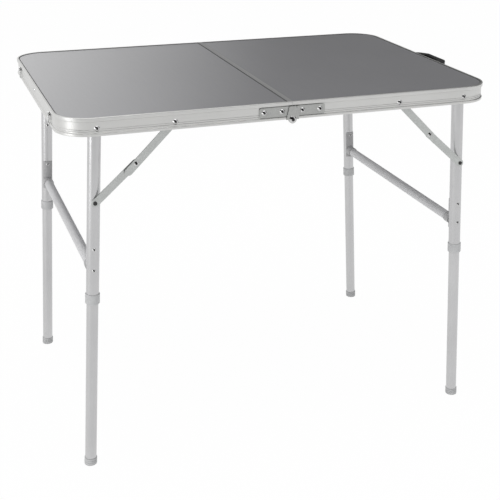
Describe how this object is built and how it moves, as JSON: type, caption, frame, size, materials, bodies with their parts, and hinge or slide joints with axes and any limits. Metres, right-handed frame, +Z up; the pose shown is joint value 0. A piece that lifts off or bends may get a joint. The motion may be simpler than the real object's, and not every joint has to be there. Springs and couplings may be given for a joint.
{
  "type": "folding camping table",
  "caption": "Suitcase-style folding camping table: two framed half tops hinged at the seam, fold-in braced leg frames with telescopic feet, end handle and catches.",
  "frame": {"origin": "on the floor, at the centre of the table's box", "axes": "+X along the table's length towards the handle, +Y to the rear, +Z up"},
  "size_m": [0.939, 0.623, 0.735],
  "materials": {
    "frame": "satin extruded aluminium",
    "board": "grey satin laminate on fibre board",
    "trim": "satin aluminium strip",
    "leg": "drawn aluminium tube, clear anodised",
    "grey_plastic": "moulded grey plastic",
    "inner_plastic": "moulded plastic",
    "bracket": "grey pressed bracket",
    "link": "zinc-plated flat bar",
    "hinge": "zinc-plated pressed steel",
    "rivet": "bright nickel",
    "handle": "black moulded plastic"
  },
  "bodies": {
    "left_top": {"left_frame": "frame", "left_panel": "board", "left_seam_trim": "trim", "left_front_hinge_leaf": "hinge", "left_rear_hinge_leaf": "hinge", "hinge_pins": "rivet", "left_hinge_screws": "rivet", "left_pivot_bolts": "rivet", "catch_rivets": "rivet", "end_screw": "rivet"},
    "right_top": {"right_frame": "frame", "right_panel": "board", "right_seam_trim": "trim", "right_front_hinge_leaf": "hinge", "right_rear_hinge_leaf": "hinge", "right_hinge_screws": "rivet", "right_pivot_bolts": "rivet", "catch_studs": "rivet", "handle": "handle", "handle_screws": "rivet"},
    "left_leg_frame": {"left_front_upper_leg": "leg", "left_rear_upper_leg": "leg", "left_crossbar": "leg", "left_crossbar_saddles": "bracket", "left_leg_rivets": "rivet", "left_collars": "grey_plastic"},
    "left_upper_links": {"left_front_upper_link": "link", "left_rear_upper_link": "link", "left_brace_rivet_heads": "rivet"},
    "left_lower_links": {"left_front_lower_link": "link", "left_rear_lower_link": "link", "left_brace_rivet_tails": "rivet"},
    "left_front_lower": {"left_front_lower_leg": "leg", "left_front_foot": "grey_plastic", "left_front_leg_lock": "inner_plastic"},
    "left_rear_lower": {"left_rear_lower_leg": "leg", "left_rear_foot": "grey_plastic", "left_rear_leg_lock": "inner_plastic"},
    "right_leg_frame": {"right_front_upper_leg": "leg", "right_rear_upper_leg": "leg", "right_crossbar": "leg", "right_crossbar_saddles": "bracket", "right_leg_rivets": "rivet", "right_collars": "grey_plastic"},
    "right_upper_links": {"right_front_upper_link": "link", "right_rear_upper_link": "link", "right_brace_rivet_heads": "rivet"},
    "right_lower_links": {"right_front_lower_link": "link", "right_rear_lower_link": "link", "right_brace_rivet_tails": "rivet"},
    "right_front_lower": {"right_front_lower_leg": "leg", "right_front_foot": "grey_plastic", "right_front_leg_lock": "inner_plastic"},
    "right_rear_lower": {"right_rear_lower_leg": "leg", "right_rear_foot": "grey_plastic", "right_rear_leg_lock": "inner_plastic"},
    "front_catch_plate": {"front_catch": "hinge"},
    "rear_catch_plate": {"rear_catch": "hinge"}
  },
  "joints": [
    {"name": "top_fold", "type": "hinge", "parent": "left_top", "child": "right_top", "pos_m": [-0.0163, 0, 0.7], "axis": [0, 1, 0], "range_deg": [0, 50]},
    {"name": "left_leg_fold", "type": "hinge", "parent": "left_top", "child": "left_leg_frame", "pos_m": [-0.3963, 0, 0.7145], "axis": [0, -1, 0], "range_deg": [0, 92.9]},
    {"name": "left_upper_link_turn", "type": "hinge", "parent": "left_top", "child": "left_upper_links", "pos_m": [-0.2493, 0, 0.7145], "axis": [0, -1, 0], "range_deg": [-44.95, 0]},
    {"name": "left_lower_link_turn", "type": "hinge", "parent": "left_leg_frame", "child": "left_lower_links", "pos_m": [-0.40451, 0, 0.56773], "axis": [0, -1, 0], "range_deg": [0, 44.95]},
    {"name": "left_front_leg_slide", "type": "slide", "parent": "left_leg_frame", "child": "left_front_lower", "axis": [0.0558, 0, 0.9984], "range_m": [0, 0.33976]},
    {"name": "left_rear_leg_slide", "type": "slide", "parent": "left_leg_frame", "child": "left_rear_lower", "axis": [0.0558, 0, 0.9984], "range_m": [0, 0.33976]},
    {"name": "right_leg_fold", "type": "hinge", "parent": "right_top", "child": "right_leg_frame", "pos_m": [0.3637, 0, 0.7145], "axis": [0, 1, 0], "range_deg": [0, 92.9]},
    {"name": "right_upper_link_turn", "type": "hinge", "parent": "right_top", "child": "right_upper_links", "pos_m": [0.2167, 0, 0.7145], "axis": [0, 1, 0], "range_deg": [-44.95, 0]},
    {"name": "right_lower_link_turn", "type": "hinge", "parent": "right_leg_frame", "child": "right_lower_links", "pos_m": [0.37191, 0, 0.56773], "axis": [0, 1, 0], "range_deg": [0, 44.95]},
    {"name": "right_front_leg_slide", "type": "slide", "parent": "right_leg_frame", "child": "right_front_lower", "axis": [-0.0558, 0, 0.9984], "range_m": [0, 0.33976]},
    {"name": "right_rear_leg_slide", "type": "slide", "parent": "right_leg_frame", "child": "right_rear_lower", "axis": [-0.0558, 0, 0.9984], "range_m": [0, 0.33976]},
    {"name": "front_catch_swing", "type": "hinge", "parent": "left_top", "child": "front_catch_plate", "pos_m": [-0.4666, -0.2, 0.721], "axis": [1, 0, 0], "range_deg": [-80, 80]},
    {"name": "rear_catch_swing", "type": "hinge", "parent": "left_top", "child": "rear_catch_plate", "pos_m": [-0.4666, 0.2, 0.721], "axis": [1, 0, 0], "range_deg": [-80, 80]}
  ],
  "couplings": [
    {"joint": "left_upper_link_turn", "follows": "left_leg_fold", "ratio": -0.48176},
    {"joint": "left_lower_link_turn", "follows": "left_leg_fold", "ratio": 0.48176},
    {"joint": "left_front_leg_slide", "follows": "left_leg_fold", "m_per_rad": 0.20924},
    {"joint": "left_rear_leg_slide", "follows": "left_leg_fold", "m_per_rad": 0.20924},
    {"joint": "right_upper_link_turn", "follows": "right_leg_fold", "ratio": -0.48176},
    {"joint": "right_lower_link_turn", "follows": "right_leg_fold", "ratio": 0.48176},
    {"joint": "right_front_leg_slide", "follows": "right_leg_fold", "m_per_rad": 0.20924},
    {"joint": "right_rear_leg_slide", "follows": "right_leg_fold", "m_per_rad": 0.20924}
  ]
}
